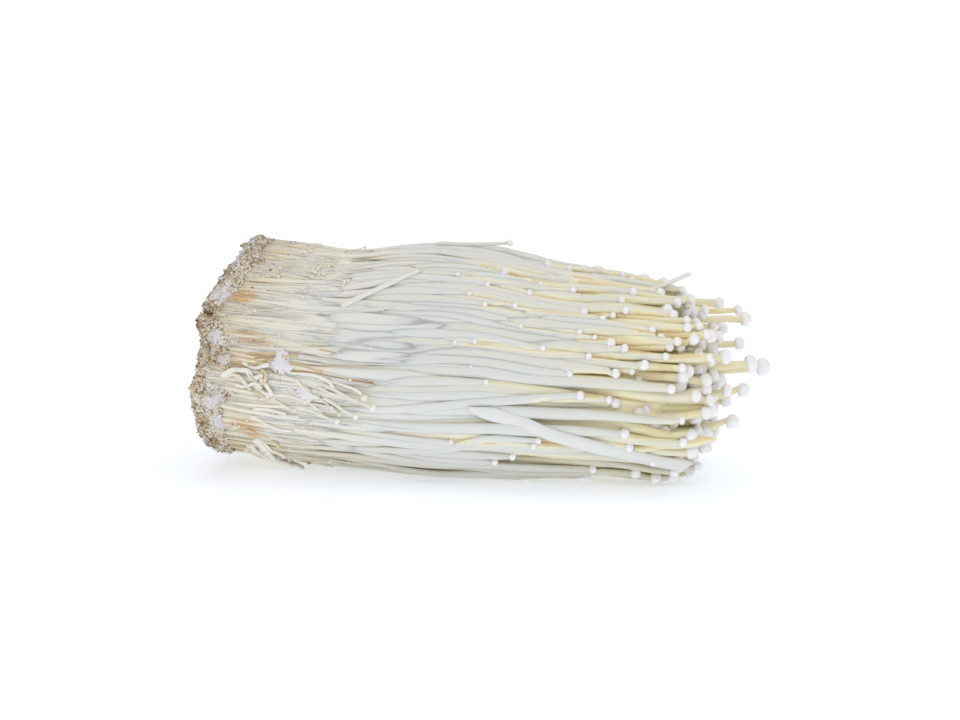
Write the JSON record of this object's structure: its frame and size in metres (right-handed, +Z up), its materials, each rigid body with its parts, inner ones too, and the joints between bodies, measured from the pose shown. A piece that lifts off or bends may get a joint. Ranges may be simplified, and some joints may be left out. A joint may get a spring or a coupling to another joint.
{
  "type": "enoki mushroom bunch",
  "caption": "Bunch of enoki mushrooms lying on its side: long slender white stems with small round caps, growing from a cut, crusty heel.",
  "frame": {"origin": "middle of the footprint, on the surface that the bunch lies on", "axes": "+X from the cut heel towards the caps, -Y the side seen with the heel on the left, +Z up"},
  "size_m": [0.159, 0.0744, 0.0669],
  "materials": {
    "heel": "dry granular crust, matte",
    "mycelium": "cottony, matte",
    "packed_stems": "moist satin, slightly translucent",
    "single_mushroom": "moist satin, slightly translucent",
    "torn_stem": "matte, dried at the torn end"
  },
  "bodies": {
    "root": {"heel_lower": "heel", "heel_middle": "heel", "heel_upper": "heel", "lower_tuft_01": "packed_stems", "lower_tuft_02": "packed_stems", "lower_tuft_03": "packed_stems", "lower_tuft_04": "packed_stems", "lower_tuft_05": "packed_stems", "lower_tuft_06": "packed_stems", "lower_tuft_07": "packed_stems", "lower_tuft_08": "packed_stems", "lower_tuft_09": "packed_stems", "middle_tuft_01": "packed_stems", "middle_tuft_02": "packed_stems", "middle_tuft_03": "packed_stems", "middle_tuft_04": "packed_stems", "middle_tuft_05": "packed_stems", "middle_tuft_06": "packed_stems", "middle_tuft_07": "packed_stems", "mushroom_01": "single_mushroom", "mushroom_02": "single_mushroom", "mushroom_03": "single_mushroom", "mushroom_04": "single_mushroom", "mushroom_05": "single_mushroom", "mushroom_06": "single_mushroom", "mushroom_07": "single_mushroom", "mushroom_08": "single_mushroom", "mushroom_09": "single_mushroom", "mushroom_10": "single_mushroom", "mushroom_11": "single_mushroom", "mushroom_12": "single_mushroom", "mushroom_13": "single_mushroom", "mushroom_14": "single_mushroom", "mushroom_15": "single_mushroom", "mushroom_16": "single_mushroom", "mushroom_17": "single_mushroom", "mushroom_18": "single_mushroom", "mushroom_19": "single_mushroom", "mushroom_20": "single_mushroom", "mycelium_pad_1": "mycelium", "mycelium_pad_2": "mycelium", "outer_stem_broken": "single_mushroom", "outer_stem_crossing": "single_mushroom", "outer_stem_raised": "single_mushroom", "outer_stem_snapped": "single_mushroom", "short_mushroom_1": "single_mushroom", "short_mushroom_2": "single_mushroom", "short_mushroom_3": "single_mushroom", "torn_stem_1": "torn_stem", "torn_stem_2": "torn_stem", "torn_stem_3": "torn_stem", "upper_tuft_01": "packed_stems", "upper_tuft_02": "packed_stems", "upper_tuft_03": "packed_stems", "upper_tuft_04": "packed_stems", "upper_tuft_05": "packed_stems", "upper_tuft_06": "packed_stems", "upper_tuft_07": "packed_stems", "upper_tuft_08": "packed_stems"}
  },
  "joints": []
}
